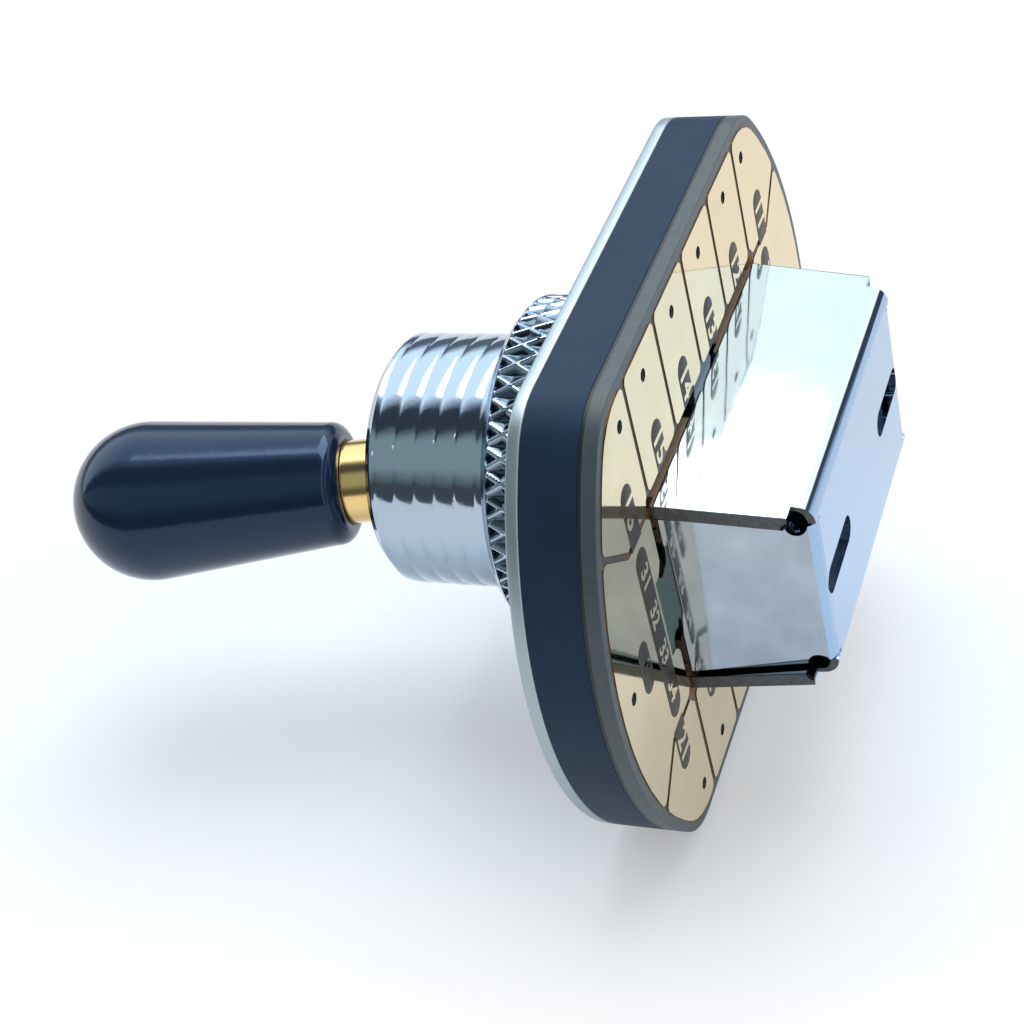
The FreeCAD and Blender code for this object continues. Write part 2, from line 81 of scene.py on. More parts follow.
def startMaterial(name, colour, metallic, roughness):
    material = bpy.data.materials.new(name)
    material.use_nodes = True
    tree = material.node_tree
    shader = tree.nodes["Principled BSDF"]
    shader.inputs["Base Color"].default_value = hexColour(colour)
    shader.inputs["Metallic"].default_value = metallic
    shader.inputs["Roughness"].default_value = roughness
    material.diffuse_color = hexColour(colour)
    place = addNode(tree, "ShaderNodeTexCoord").outputs["Object"]
    return material, tree, shader, place


# settings that many nodes share: how two colours mix, and what a sum does
mix = {"data_type": "RGBA"}
plus, minus, times, divide = ({"operation": name} for name in ("ADD", "SUBTRACT", "MULTIPLY", "DIVIDE"))
absolute, largest, power = ({"operation": name} for name in ("ABSOLUTE", "MAXIMUM", "POWER"))
below, above = ({"operation": name} for name in ("LESS_THAN", "GREATER_THAN"))
length, smooth = {"operation": "LENGTH"}, {"interpolation_type": "SMOOTHSTEP"}


def within(tree, place, halfX, halfZ):
    # 1 inside a rectangle about the bush axis, sizes in millimetres
    xyz = addNode(tree, "ShaderNodeSeparateXYZ", None, {0: place})
    inside = []
    for axis, half in ((0, halfX), (2, halfZ)):
        away = addNode(tree, "ShaderNodeMath", absolute, {0: xyz.outputs[axis]})
        inside.append(addNode(tree, "ShaderNodeMath", below, {0: away.outputs[0], 1: half * milli}).outputs[0])
    return addNode(tree, "ShaderNodeMath", times, {0: inside[0], 1: inside[1]}).outputs[0]


def farFromAxis(tree, place):
    # how far a point is from the bush axis
    flat = addNode(tree, "ShaderNodeVectorMath", times, {0: place, 1: (1, 0, 1)})
    return addNode(tree, "ShaderNodeVectorMath", length, {0: flat.outputs[0]}).outputs["Value"]


def facingBack(tree):
    # 1 on faces that look along the bush axis, away from the tip
    normal = addNode(tree, "ShaderNodeTexCoord").outputs["Normal"]
    xyz = addNode(tree, "ShaderNodeSeparateXYZ", None, {0: normal})
    return addNode(tree, "ShaderNodeMath", above, {0: xyz.outputs[1], 1: 0.6}).outputs[0]


def finishMaterial(tree, shader, colour=None, roughness=None, height=None, strength=0.0, distance=0.0):
    # links the finished fields to the shader, the height through a bump
    if colour is not None:
        tree.links.new(colour, shader.inputs["Base Color"])
    if roughness is not None:
        tree.links.new(roughness, shader.inputs["Roughness"])
    if height is not None:
        bump = addNode(tree, "ShaderNodeBump", {"Strength": strength, "Distance": distance}, {"Height": height})
        tree.links.new(bump.outputs[0], shader.inputs["Normal"])


# a noise scale counts cells a metre in every material, so 1000 gives cells of 1 mm

# rolled aluminium sheet, satin, sheared at the edge: fine scratches along the plate
def makeSheetAluminium():
    material, tree, shader, place = startMaterial("rolledAluminiumSatin", "aab8c0", 1.0, 0.4)
    drawn = addNode(tree, "ShaderNodeMapping", {"Scale": (600, 9000, 9000)}, {"Vector": place}).outputs[0]
    grain = addNode(tree, "ShaderNodeTexNoise", {"Scale": 1.0, "Detail": 3.0}, {"Vector": drawn}).outputs[0]
    dull = addNode(tree, "ShaderNodeMapRange", {"To Min": 0.34, "To Max": 0.52}, {"Value": grain}).outputs[0]
    finishMaterial(tree, shader, None, dull, grain, 0.12, 0.00003)
    return material


# glass-filled moulding, slate black, matt with a fine spark-eroded texture of about 0.15 mm
def makeMouldedBlack():
    material, tree, shader, place = startMaterial("mouldedNylonMattBlack", "172c47", 0.0, 0.55)
    shader.inputs["Specular IOR Level"].default_value = 0.35
    shader.inputs["Specular Tint"].default_value = hexColour("b4cdee")
    grain = addNode(tree, "ShaderNodeTexNoise", {"Scale": 5200.0}, {"Vector": place}).outputs[0]
    cloud = addNode(tree, "ShaderNodeTexNoise", {"Scale": 420.0, "Detail": 3.0}, {"Vector": place}).outputs[0]
    tone = addNode(tree, "ShaderNodeMix", mix, {0: cloud, 6: "15263a", 7: "1f3349"}).outputs[2]
    finishMaterial(tree, shader, tone, None, grain, 0.35, 0.00004)
    return material


# where the knurl's pits lie, in millimetres: from the crests inwards, and along the nut about its middle
pitSize = {"crest": 7.82, "floor": 7.66, "rim": 7.5, "middle": -3.2, "halfLong": 1.3}


# bright nickel plating over turned brass: near-mirror, with faint turning marks around the axis, and painted
# shade that darkens the pits of the knurl
def makeBrightPlating():
    s = pitSize
    material, tree, shader, place = startMaterial("brightNickelPlating", "afc0d2", 1.0, 0.09)
    turned = addNode(tree, "ShaderNodeMapping", {"Scale": (300, 5000, 300)}, {"Vector": place}).outputs[0]
    marks = addNode(tree, "ShaderNodeTexNoise", {"Scale": 1.0}, {"Vector": turned}).outputs[0]
    dull = addNode(tree, "ShaderNodeMapRange", {"To Min": 0.05, "To Max": 0.15}, {"Value": marks}).outputs[0]
    waves = addNode(tree, "ShaderNodeTexNoise", {"Scale": 900.0, "Detail": 3.0}, {"Vector": place}).outputs[0]
    xyz = addNode(tree, "ShaderNodeSeparateXYZ", None, {0: place})
    far = farFromAxis(tree, place)
    deep = addNode(tree, "ShaderNodeMapRange", {"From Min": s["crest"] * milli, "From Max": s["floor"] * milli},
                   {"Value": far}).outputs[0]
    along = addNode(tree, "ShaderNodeMath", minus, {0: xyz.outputs[1], 1: s["middle"] * milli}).outputs[0]
    offset = addNode(tree, "ShaderNodeMath", absolute, {0: along}).outputs[0]
    near = addNode(tree, "ShaderNodeMath", below, {0: offset, 1: s["halfLong"] * milli}).outputs[0]
    outer = addNode(tree, "ShaderNodeMath", above, {0: far, 1: s["rim"] * milli}).outputs[0]
    knurled = addNode(tree, "ShaderNodeMath", times, {0: near, 1: outer}).outputs[0]
    # painted shade: the knurl's deeper points near the middle of the nut get a darker colour
    paintedPitShade = addNode(tree, "ShaderNodeMath", times, {0: deep, 1: knurled}).outputs[0]
    tone = addNode(tree, "ShaderNodeMix", mix, {0: paintedPitShade, 6: "afc0d2", 7: "4a5866"}).outputs[2]
    finishMaterial(tree, shader, tone, dull, waves, 0.05, 0.0002)
    return material


# fields of the board in millimetres: half width and half height of rectangles about the bush axis, the
# radius of the field of pads, and the place along the axis before which the board's edge gets painted shade of the
# gap
boardField = {"slots": (9.9, 6.3), "nearSlots": (2.36, 6.4), "endSlots": (9.9, 2.7), "padBox": (16.0, 11.56),
              "padDisc": 15.86, "mask": (10.2, 2.2), "middle": (2.2, 6.2), "paintedGapShade": 3.17}


# glass and resin laminate: satin grey-green cut edge, brown routed slots, dark bare face between pads
def makeLaminate():
    s = boardField
    material, tree, shader, place = startMaterial("glassLaminateSatin", "5d6b6d", 0.0, 0.42)
    edgeSpeck, wallSpeck, bareSpeck = (
        addNode(tree, "ShaderNodeTexNoise", {"Scale": scale}, {"Vector": place}).outputs[0]
        for scale in (2400.0, 1500.0, 1800.0))
    cloud = addNode(tree, "ShaderNodeTexNoise", {"Scale": 1300.0, "Detail": 1.0}, {"Vector": place}).outputs[0]
    bare = addNode(tree, "ShaderNodeMix", mix, {0: edgeSpeck, 6: "394449", 7: "4a565b"}).outputs[2]
    wall = addNode(tree, "ShaderNodeMix", mix, {0: wallSpeck, 6: "e4a679", 7: "f6bf92"}).outputs[2]
    ground = addNode(tree, "ShaderNodeMix", mix, {0: bareSpeck, 6: "3c352a", 7: "4d4638"}).outputs[2]
    green = addNode(tree, "ShaderNodeMix", mix, {0: cloud, 6: "35504a", 7: "46624f"}).outputs[2]
    xyz = addNode(tree, "ShaderNodeSeparateXYZ", None, {0: place})
    # painted shade: the strip of the board's edge nearest the moulding is painted dark, as the shade in the gap
    paintedGapShade = addNode(tree, "ShaderNodeMath", below, {0: xyz.outputs[1], 1: s["paintedGapShade"] * milli}).outputs[0]
    far = farFromAxis(tree, place)
    disc = addNode(tree, "ShaderNodeMath", below, {0: far, 1: s["padDisc"] * milli}).outputs[0]
    inner = addNode(tree, "ShaderNodeMath", times, {0: within(tree, place, *s["padBox"]), 1: disc}).outputs[0]
    # the walls of the slots, painted near-black as shade at the round ends, then the edge with painted shade at the
    # gap to the moulding, then the face
    for mask in (within(tree, place, *s["nearSlots"]), within(tree, place, *s["endSlots"])):
        wall = addNode(tree, "ShaderNodeMix", mix, {0: mask, 6: wall, 7: "20211f"}).outputs[2]
    rim = addNode(tree, "ShaderNodeMix", mix, {0: paintedGapShade, 6: bare, 7: "141c22"}).outputs[2]
    slots = within(tree, place, *s["slots"])
    sides = addNode(tree, "ShaderNodeMix", mix, {0: slots, 6: rim, 7: wall}).outputs[2]
    face = bare
    for mask, tone in ((inner, ground), (within(tree, place, *s["mask"]), green),
                       (within(tree, place, *s["middle"]), "4a5b6c")):
        face = addNode(tree, "ShaderNodeMix", mix, {0: mask, 6: face, 7: tone}).outputs[2]
    tone = addNode(tree, "ShaderNodeMix", mix, {0: facingBack(tree), 6: sides, 7: face}).outputs[2]
    finishMaterial(tree, shader, tone)
    return material


# thin gold over plated copper, pale and mirror-bright with soft stains; its edges show the copper
def makePadGold():
    material, tree, shader, place = startMaterial("immersionGoldGloss", "e8d8b0", 1.0, 0.07)
    stain = addNode(tree, "ShaderNodeTexNoise", {"Scale": 240.0, "Detail": 3.0}, {"Vector": place}).outputs[0]
    cloud = addNode(tree, "ShaderNodeTexNoise", {"Scale": 900.0, "Detail": 3.0}, {"Vector": place}).outputs[0]
    waves = addNode(tree, "ShaderNodeTexNoise", {"Scale": 160.0}, {"Vector": place}).outputs[0]
    face = addNode(tree, "ShaderNodeMix", mix, {0: stain, 6: "dcc79b", 7: "efe2c2"}).outputs[2]
    tone = addNode(tree, "ShaderNodeMix", mix, {0: facingBack(tree), 6: "a8795a", 7: face}).outputs[2]
    dull = addNode(tree, "ShaderNodeMapRange", {"To Min": 0.04, "To Max": 0.1}, {"Value": cloud}).outputs[0]
    finishMaterial(tree, shader, tone, dull, waves, 0.03, 0.0003)
    return material


# the can's trim in millimetres: its flap ends lean in, and each corner of its bends is cut back to a notch,
# so that the round hollow of the bend shows; the last row places the sheared ends, the sheared ring on the
# notch's step and the painted shade that darkens the sheet in and round the holes at the bends
canTrim = {"flapEnd": 8.7, "leanFrom": 4.27, "lean": 0.052, "hole": 0.42, "holeFrom": 6.9, "holeY": 9.49,
           "holeZ": 4.04, "notchX": 7.65, "notchY": 9.38, "notchZ": 3.78, "past": 1.4, "overlap": 0.1,
           "margin": 0.04, "bevel": 0.04, "sides": 28,
           "shearedEnd": 8.64, "step": (7.6, 7.72), "ring": 1.0, "bore": 0.45, "holeShadeFrom": 6.85}


# tinned steel sheet, cold rolled and bright: a mirror with a slight haze, shallow waves and satin sheared
# edges; its short walls are a little rougher, with painted shade that darkens their colour, its end wall has a
# painted bluer reflection, and its holes get painted shade
def makeTinnedSheet():
    s = canTrim
    material, tree, shader, place = startMaterial("tinnedSteelBright", "c6d6e8", 1.0, 0.06)
    xyz = addNode(tree, "ShaderNodeSeparateXYZ", None, {0: place})
    outside = addNode(tree, "ShaderNodeMath", absolute, {0: xyz.outputs[0]}).outputs[0]
    # the sheared ends
    up = addNode(tree, "ShaderNodeMath", minus, {0: xyz.outputs[1], 1: s["leanFrom"] * milli}).outputs[0]
    rise = addNode(tree, "ShaderNodeMath", largest, {0: up, 1: 0.0}).outputs[0]
    leant = addNode(tree, "ShaderNodeMath", times, {0: rise, 1: s["lean"]}).outputs[0]
    reach = addNode(tree, "ShaderNodeMath", plus, {0: outside, 1: leant}).outputs[0]
    shorn = addNode(tree, "ShaderNodeMath", above, {0: reach, 1: s["shearedEnd"] * milli}).outputs[0]
    # faces that look along X
    normal = addNode(tree, "ShaderNodeTexCoord").outputs["Normal"]
    way = addNode(tree, "ShaderNodeSeparateXYZ", None, {0: normal})
    sideways = addNode(tree, "ShaderNodeMath", absolute, {0: way.outputs[0]}).outputs[0]
    facingAlongX = addNode(tree, "ShaderNodeMath", above, {0: sideways, 1: 0.8}).outputs[0]
    # the hollow of each bend
    aside = addNode(tree, "ShaderNodeMath", minus, {0: xyz.outputs[1], 1: s["holeY"] * milli}).outputs[0]
    high = addNode(tree, "ShaderNodeMath", absolute, {0: xyz.outputs[2]}).outputs[0]
    beyond = addNode(tree, "ShaderNodeMath", minus, {0: high, 1: s["holeZ"] * milli}).outputs[0]
    gap = addNode(tree, "ShaderNodeCombineXYZ", None, {0: aside, 1: beyond}).outputs[0]
    far = addNode(tree, "ShaderNodeVectorMath", length, {0: gap}).outputs["Value"]
    paintedHoleShade, ring = 1.0, facingAlongX
    for how, field, size in ((below, far, s["bore"]), (above, outside, s["holeShadeFrom"])):
        test = addNode(tree, "ShaderNodeMath", how, {0: field, 1: size * milli}).outputs[0]
        paintedHoleShade = addNode(tree, "ShaderNodeMath", times, {0: paintedHoleShade, 1: test}).outputs[0]
    for how, field, size in ((above, outside, s["step"][0]), (below, outside, s["step"][1]), (below, far, s["ring"])):
        test = addNode(tree, "ShaderNodeMath", how, {0: field, 1: size * milli}).outputs[0]
        ring = addNode(tree, "ShaderNodeMath", times, {0: ring, 1: test}).outputs[0]
    sheared = shorn
    for mask in (ring, paintedHoleShade):
        sheared = addNode(tree, "ShaderNodeMath", largest, {0: sheared, 1: mask}).outputs[0]
    # the tone of the long walls, then over it the end wall's painted reflection, the short walls' painted shade, the
    # sheared faces and the painted shade of the holes
    patchy = addNode(tree, "ShaderNodeTexNoise", {"Scale": 520.0, "Detail": 5.0}, {"Vector": place}).outputs[0]
    drag = addNode(tree, "ShaderNodeTexNoise", {"Scale": 4000.0, "Detail": 3.0}, {"Vector": place}).outputs[0]
    tone = addNode(tree, "ShaderNodeMix", mix, {0: patchy, 6: "c2d4e6", 7: "d2e0ee"}).outputs[2]
    # painted shade: the short walls' colour is darker than the long walls'
    paintedShortWallShade = addNode(tree, "ShaderNodeMix", mix, {0: patchy, 6: "8d9aa8", 7: "b7c4d2"}).outputs[2]
    dragged = addNode(tree, "ShaderNodeMix", mix, {0: drag, 6: "3f4347", 7: "6a6e72"}).outputs[2]
    for mask, laid in ((facingBack(tree), "a2bfe0"), (facingAlongX, paintedShortWallShade), (sheared, dragged), (paintedHoleShade, "16191d")):
        tone = addNode(tree, "ShaderNodeMix", mix, {0: mask, 6: tone, 7: laid}).outputs[2]
    cloud = addNode(tree, "ShaderNodeTexNoise", {"Scale": 1300.0, "Detail": 4.0}, {"Vector": place}).outputs[0]
    fine = addNode(tree, "ShaderNodeMapRange", {"To Min": 0.03, "To Max": 0.1}, {"Value": cloud}).outputs[0]
    extra = addNode(tree, "ShaderNodeMath", times, {0: facingAlongX, 1: 0.01}).outputs[0]
    haze = addNode(tree, "ShaderNodeMath", plus, {0: fine, 1: extra}).outputs[0]
    satin = addNode(tree, "ShaderNodeMath", times, {0: sheared, 1: 0.42}).outputs[0]
    dull = addNode(tree, "ShaderNodeMath", largest, {0: haze, 1: satin}).outputs[0]
    waves = addNode(tree, "ShaderNodeTexNoise", {"Scale": 230.0}, {"Vector": place}).outputs[0]
    finishMaterial(tree, shader, tone, dull, waves, 0.06, 0.0003)
    return material


# compression-moulded plastic, near-black with a blue cast and a satin sheen
def makeKnobPlastic():
    material, tree, shader, place = startMaterial("mouldedPhenolicSatin", "16243a", 0.0, 0.2)
    shader.inputs["Specular Tint"].default_value = hexColour("a0c2ee")
    shader.inputs["Specular IOR Level"].default_value = 0.65
    shader.inputs["IOR"].default_value = 1.55
    cloud = addNode(tree, "ShaderNodeTexNoise", {"Scale": 700.0, "Detail": 3.0}, {"Vector": place}).outputs[0]
    dull = addNode(tree, "ShaderNodeMapRange", {"To Min": 0.1, "To Max": 0.17}, {"Value": cloud}).outputs[0]
    grain = addNode(tree, "ShaderNodeTexNoise", {"Scale": 2600.0}, {"Vector": place}).outputs[0]
    finishMaterial(tree, shader, None, dull, grain, 0.08, 0.00005)
    return material


# turned brass, bright
def makeTurnedBrass():
    return startMaterial("turnedBrassBright", "eecd8c", 1.0, 0.18)[0]


# ground steel, plain
def makeGroundSteel():
    return startMaterial("groundSteel", "a9abad", 1.0, 0.3)[0]


# gold-plated spring alloy, bright
def makeSpringAlloy():
    return startMaterial("goldPlatedSpringAlloy", "dcb468", 1.0, 0.22)[0]


# bare laminate where the copper is etched away round a number: dark brown, satin
def makeEtchedGround():
    material, tree, shader, place = startMaterial("etchedLaminateBrown", "312b22", 0.0, 0.45)
    speckle = addNode(tree, "ShaderNodeTexNoise", {"Scale": 1800.0}, {"Vector": place}).outputs[0]
    tone = addNode(tree, "ShaderNodeMix", mix, {0: speckle, 6: "2b261e", 7: "373228"}).outputs[2]
    finishMaterial(tree, shader, tone)
    return material


# the finish for each material slot of the record
finish = {
    "plate": makeSheetAluminium(), "moulding": makeMouldedBlack(), "bright_plating": makeBrightPlating(),
    "steel": makeGroundSteel(), "laminate": makeLaminate(), "pads": makePadGold(), "can_sheet": makeTinnedSheet(),
    "contacts": makeSpringAlloy(), "lever_brass": makeTurnedBrass(), "knob_plastic": makeKnobPlastic()}
etchedGround = makeEtchedGround()
slotOf = {p["node"]: p["material_slot"] for p in frame["record"]["subparts"]}
for name, node in nodes.items():
    node.data.materials.clear()
    node.data.materials.append(finish[slotOf[name]])
print("materials made:", len(bpy.data.materials))


def newObject(name, data):
    thing = bpy.data.objects.new(name, data)
    bpy.context.scene.collection.objects.link(thing)
    return thing


def finishedMesh(thing):
    # a plain mesh of what the object's curve or modifiers make
    return bpy.data.meshes.new_from_object(thing.evaluated_get(bpy.context.evaluated_depsgraph_get()))


def softenEdges(thing, width, angle):
    # rounds the edges where faces meet at more than the angle, and keeps flat faces looking flat
    if width:
        soft = thing.modifiers.new("soft", "BEVEL")
        soft.width = width
        soft.segments = 2
        soft.limit_method = "ANGLE"
        soft.angle_limit = math.radians(angle)
    thing.modifiers.new("flatFirst", "WEIGHTED_NORMAL").keep_sharp = True


def newPiece(name, mesh, material, body, replaced=(), sharpAngle=35):
    # a finished mesh in millimetres becomes a piece of the object, in metres, riding on its body
    mesh.transform(Matrix.Scale(milli, 4))
    if sharpAngle:
        mesh.shade_smooth()
        mesh.set_sharp_from_angle(angle=math.radians(sharpAngle))
    if len(mesh.materials) < 2:
        mesh.materials.clear()
        mesh.materials.append(material)
    piece = newObject(name, mesh)
    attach(piece, body)
    if replaced:
        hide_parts(*replaced)
    return piece


def revolvedMesh(name, profile, segments):
    # a closed loop of (radius, y) points turned about the bush axis; points on the axis become poles
    shape = bmesh.new()
    turns = [2 * math.pi * k / segments for k in range(segments)]
    rings = []
    for radius, y in profile:
        around = turns if radius > 0 else turns[:1]
        rings.append([shape.verts.new((radius * math.cos(a), y, radius * math.sin(a))) for a in around])
    for a, b in zip(rings, rings[1:] + rings[:1]):
        if len(a) == 1 and len(b) == 1:
            continue
        for k in range(segments):
            corners = [a[k % len(a)], a[(k + 1) % len(a)], b[(k + 1) % len(b)], b[k % len(b)]]
            corners = [v for i, v in enumerate(corners) if v not in corners[:i]]
            shape.faces.new(corners)
    bmesh.ops.recalc_face_normals(shape, faces=shape.faces)
    mesh = bpy.data.meshes.new(name)
    shape.to_mesh(mesh)
    shape.free()
    return mesh


def arcPoints(cx, cy, radius, start, end, steps):
    # points on an arc, angles in degrees
    turns = [math.radians(start + (end - start) * k / steps) for k in range(steps + 1)]
    return [(cx + radius * math.cos(a), cy + radius * math.sin(a)) for a in turns]


def alongLever():
    # the turn and move that put a piece built along -Y from the pivot into the stored pose
    lean = Matrix.Rotation(math.radians(pose["lean"]), 4, "X")
    throw = Matrix.Rotation(math.radians(pose["throw"]), 4, "Z")
    return Matrix.Translation(pose["pivot"]) @ lean @ throw


def applyTree(mesh, tree, inputs, name):
    # runs a node tree on a mesh and keeps the result as a plain mesh
    holder = newObject(name + "Holder", mesh)
    modifier = holder.modifiers.new("shape", "NODES")
    modifier.node_group = tree
    for item in tree.interface.items_tree:
        if item.item_type == "SOCKET" and item.in_out == "INPUT" and item.name in inputs:
            modifier[item.identifier] = inputs[item.name]
    holder.update_tag()
    made = finishedMesh(holder)
    holder.modifiers.clear()
    bpy.data.objects.remove(holder)
    made.name = name
    return made


def startTree(name, sizes):
    # an empty geometry tree with one named input for each size
    tree = bpy.data.node_groups.new(name, "GeometryNodeTree")
    tree.interface.new_socket("Geometry", in_out="INPUT", socket_type="NodeSocketGeometry")
    for size in sizes:
        tree.interface.new_socket(size, in_out="INPUT", socket_type="NodeSocketFloat")
    tree.interface.new_socket("Finish", in_out="INPUT", socket_type="NodeSocketMaterial")
    tree.interface.new_socket("Geometry", in_out="OUTPUT", socket_type="NodeSocketGeometry")
    return tree, addNode(tree, "NodeGroupInput")


def closeTree(tree, given, geometry):
    real = addNode(tree, "GeometryNodeRealizeInstances", None, {0: geometry})
    painted = addNode(tree, "GeometryNodeSetMaterial", None,
                      {"Geometry": real.outputs[0], "Material": given.outputs["Finish"]})
    addNode(tree, "NodeGroupOutput", None, {0: painted.outputs[0]})


def aroundAxis(tree):
    # the place of each point, its parts, and its share of a turn about the bush axis
    place = addNode(tree, "GeometryNodeInputPosition").outputs[0]
    xyz = addNode(tree, "ShaderNodeSeparateXYZ", None, {0: place})
    angle = addNode(tree, "ShaderNodeMath", {"operation": "ARCTAN2"}, {0: xyz.outputs["Z"], 1: xyz.outputs["X"]})
    turn = addNode(tree, "ShaderNodeMath", divide, {0: angle.outputs[0], 1: 2 * math.pi})
    return place, xyz, turn.outputs[0]


def sinkSurface(tree, given, place, shape):
    # draws the surface outside the core in towards the axis: by the whole Depth where shape is 1
    deep = addNode(tree, "ShaderNodeMath", times, {0: shape, 1: given.outputs["Depth"]})
    back = addNode(tree, "ShaderNodeMath", times, {0: deep.outputs[0], 1: -1.0})
    flat = addNode(tree, "ShaderNodeVectorMath", times, {0: place, 1: (1, 0, 1)}).outputs[0]
    radius = addNode(tree, "ShaderNodeVectorMath", length, {0: flat})
    outward = addNode(tree, "ShaderNodeVectorMath", {"operation": "NORMALIZE"}, {0: flat})
    push = addNode(tree, "ShaderNodeVectorMath", {"operation": "SCALE"},
                   {0: outward.outputs[0], "Scale": back.outputs[0]})
    outside = addNode(tree, "FunctionNodeCompare", {"data_type": "FLOAT", "operation": "GREATER_THAN"},
                      {0: radius.outputs["Value"], 1: given.outputs["Core"]})
    moved = addNode(tree, "GeometryNodeSetPosition", None, {
        "Geometry": given.outputs["Geometry"], "Selection": outside.outputs[0], "Offset": push.outputs[0]})
    closeTree(tree, given, moved.outputs[0])
    return tree


# the bush: outside thread with broad rounded crests, bored through, with a flange inside the moulding
bushSize = {"radius": 6.0, "length": 11.45, "chamfer": 0.4, "mouth": 4.2, "chamber": 4.6, "chamberDepth": 7.3,
            "flange": 7.6, "flangeBack": 1.4, "pitch": 1.0, "depth": 0.11, "crest": 0.28, "core": 5.2,
            "threadFrom": 0.1, "fade": 0.45, "rowsPerTurn": 12, "segments": 120}


def threadTree():
    # a groove along a helix; the lower Crest is, the broader the crests that stay at the full radius
    tree, given = startTree("bushThread", ["Pitch", "Depth", "Crest", "Core", "Start", "End", "Fade"])
    place, xyz, turn = aroundAxis(tree)
    along = addNode(tree, "ShaderNodeMath", divide, {0: xyz.outputs["Y"], 1: given.outputs["Pitch"]})
    phase = addNode(tree, "ShaderNodeMath", minus, {0: along.outputs[0], 1: turn})
    half = addNode(tree, "ShaderNodeMath", times, {0: phase.outputs[0], 1: math.pi})
    wave = addNode(tree, "ShaderNodeMath", {"operation": "SINE"}, {0: half.outputs[0]})
    crest = addNode(tree, "ShaderNodeMath", absolute, {0: wave.outputs[0]})
    broad = addNode(tree, "ShaderNodeMath", power, {0: crest.outputs[0], 1: given.outputs["Crest"]})
    groove = addNode(tree, "ShaderNodeMath", minus, {0: 1.0, 1: broad.outputs[0]})
    ends = []
    for limit, way in (("Start", plus), ("End", minus)):
        inner = addNode(tree, "ShaderNodeMath", way, {0: given.outputs[limit], 1: given.outputs["Fade"]})
        ends.append(addNode(tree, "ShaderNodeMapRange", smooth, {
            "Value": xyz.outputs["Y"], "From Min": given.outputs[limit], "From Max": inner.outputs[0]}))
    both = addNode(tree, "ShaderNodeMath", times, {0: ends[0].outputs[0], 1: ends[1].outputs[0]})
    cut = addNode(tree, "ShaderNodeMath", times, {0: groove.outputs[0], 1: both.outputs[0]})
    return sinkSurface(tree, given, place, cut.outputs[0])


def buildBush():
    s = bushSize
    front = -s["length"]
    rows = int((s["length"] - s["chamfer"] + stack["plateBack"]) / s["pitch"] * s["rowsPerTurn"])
    span = stack["plateBack"] - (front + s["chamfer"])
    profile = [(s["mouth"], front), (s["radius"] - s["chamfer"], front)]
    profile += [(s["radius"], front + s["chamfer"] + span * k / rows) for k in range(rows + 1)]
    profile += [(s["flange"], stack["plateBack"]), (s["flange"], s["flangeBack"]), (s["chamber"], s["flangeBack"]),
                (s["chamber"], -s["chamberDepth"]), (s["mouth"], -s["chamberDepth"])]
    mesh = revolvedMesh("threadedBush", profile, s["segments"])
    inputs = {"Pitch": s["pitch"], "Depth": s["depth"], "Crest": s["crest"], "Core": s["core"],
              "Start": front + s["threadFrom"], "End": 0.0, "Fade": s["fade"], "Finish": finish["bright_plating"]}
    mesh = applyTree(mesh, threadTree(), inputs, "threadedBush")
    return newPiece("threadedBush", mesh, finish["bright_plating"], "housing", ["bush"], 50)


buildBush()
print("bush thread made")

# the nut: round, with a mesh of thin raised ridges that cross as diamonds and plain chamfered rims
nutSize = {"radius": 7.85, "thick": 3.3, "gap": 1.55, "chamfer": 0.35, "bore": 6.05, "boreEdge": 0.3,
           "around": 44, "step": 1.9, "depth": 0.28, "crest": 1.8, "core": 7.0, "margin": 0.02, "samples": 14,
           "rows": 34}


def knurlTree():
    # height is the higher of two families of slanting ridges; the higher Crest is, the thinner they are
    tree, given = startTree("diamondKnurl", ["Around", "Step", "Depth", "Crest", "Core", "Start", "End"])
    place, xyz, turn = aroundAxis(tree)
    count = addNode(tree, "ShaderNodeMath", times, {0: turn, 1: given.outputs["Around"]})
    along = addNode(tree, "ShaderNodeMath", divide, {0: xyz.outputs["Y"], 1: given.outputs["Step"]})
    ridges = []
    for way in (plus, minus):
        phase = addNode(tree, "ShaderNodeMath", way, {0: count.outputs[0], 1: along.outputs[0]})
        part = addNode(tree, "ShaderNodeMath", {"operation": "FLOORED_MODULO"}, {0: phase.outputs[0], 1: 1.0})
        centred = addNode(tree, "ShaderNodeMath", {"operation": "MULTIPLY_ADD"},
                          {0: part.outputs[0], 1: 2.0, 2: -1.0})
        side = addNode(tree, "ShaderNodeMath", absolute, {0: centred.outputs[0]})
        ridges.append(addNode(tree, "ShaderNodeMath", power, {0: side.outputs[0], 1: given.outputs["Crest"]}))
    top = addNode(tree, "ShaderNodeMath", largest, {0: ridges[0].outputs[0], 1: ridges[1].outputs[0]})
    hollow = addNode(tree, "ShaderNodeMath", minus, {0: 1.0, 1: top.outputs[0]})
    entering = addNode(tree, "ShaderNodeMath", above, {0: xyz.outputs["Y"], 1: given.outputs["Start"]})
    leaving = addNode(tree, "ShaderNodeMath", below, {0: xyz.outputs["Y"], 1: given.outputs["End"]})
    both = addNode(tree, "ShaderNodeMath", times, {0: entering.outputs[0], 1: leaving.outputs[0]})
    cut = addNode(tree, "ShaderNodeMath", times, {0: hollow.outputs[0], 1: both.outputs[0]})
    return sinkSurface(tree, given, place, cut.outputs[0])


